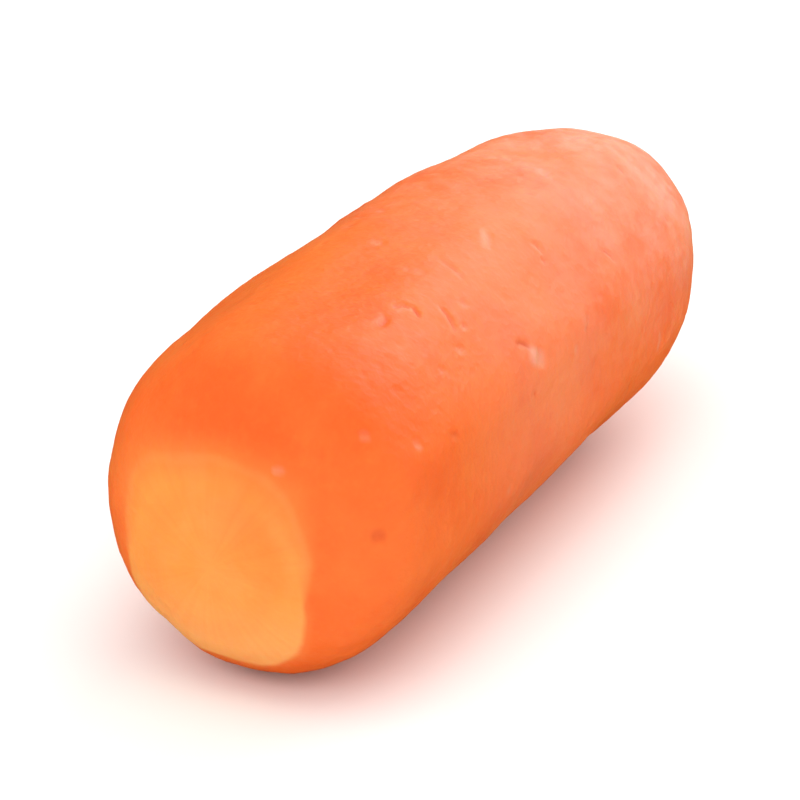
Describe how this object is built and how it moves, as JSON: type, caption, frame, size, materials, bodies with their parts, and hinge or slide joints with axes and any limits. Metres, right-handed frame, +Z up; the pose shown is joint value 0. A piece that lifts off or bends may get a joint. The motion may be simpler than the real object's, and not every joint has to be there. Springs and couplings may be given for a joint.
{
  "type": "baby carrot",
  "caption": "Short peeled piece of carrot root, blunt at the cut end and rounded at the other, lying on its side; a ready-to-eat vegetable.",
  "frame": {"origin": "on the surface the carrot rests on, under the middle of its box", "axes": "+X from the cut end to the rounded end, +Z up from the surface it rests on"},
  "size_m": [0.0508, 0.0192, 0.018],
  "materials": {
    "carrot_flesh": "raw peeled carrot flesh, tumbled smooth, slightly moist satin"
  },
  "bodies": {
    "root": {"carrot": "carrot_flesh"}
  },
  "joints": []
}
